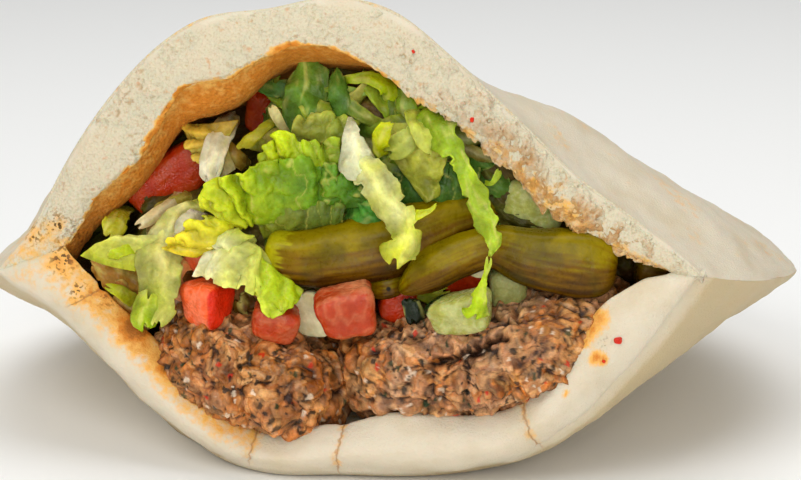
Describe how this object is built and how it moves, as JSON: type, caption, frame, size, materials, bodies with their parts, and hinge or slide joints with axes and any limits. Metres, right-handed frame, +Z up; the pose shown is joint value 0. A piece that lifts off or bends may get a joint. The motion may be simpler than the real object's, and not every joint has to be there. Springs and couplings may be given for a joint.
{
  "type": "stuffed pita sandwich",
  "caption": "Round pita bread opened along one edge and filled with grilled minced-meat fingers, shredded lettuce, pickled peppers and diced vegetables.",
  "frame": {"origin": "at the surface that the sandwich stands on, below the middle of its bounding box", "axes": "+X along the mouth of the pocket, to the right as seen from in front; +Y from the mouth back into the pocket; +Z up"},
  "size_m": [0.1798, 0.1569, 0.0964],
  "materials": {
    "bread": "matt baked crust with faint toasting; the torn rim shows a soft open crumb",
    "meat": "browned coarse minced meat with herbs, slightly greasy",
    "lettuce": "moist thin leaf, yellow-green with pale ribs",
    "pickled_pepper": "wet olive-brown pickled skin with lengthwise streaks",
    "tomato": "wet red flesh and skin",
    "cucumber": "pale green wet flesh with a dark green skin",
    "onion": "translucent pale onion",
    "fried_piece": "browned fried vegetable"
  },
  "bodies": {
    "root": {"pita": "bread", "kofta_left": "meat", "kofta_right": "meat", "salad": "lettuce", "pepper_left": "pickled_pepper", "pepper_right": "pickled_pepper", "pepper_stub": "pickled_pepper", "pepper_far": "pickled_pepper", "tomato_1": "tomato", "tomato_2": "tomato", "tomato_3": "tomato", "tomato_4": "tomato", "tomato_5": "tomato", "tomato_6": "tomato", "tomato_7": "tomato", "tomato_8": "tomato", "tomato_9": "tomato", "tomato_10": "tomato", "tomato_11": "tomato", "cucumber_1": "cucumber", "cucumber_2": "cucumber", "cucumber_3": "cucumber", "onion_1": "onion", "onion_2": "onion", "fried_piece": "fried_piece"}
  },
  "joints": []
}
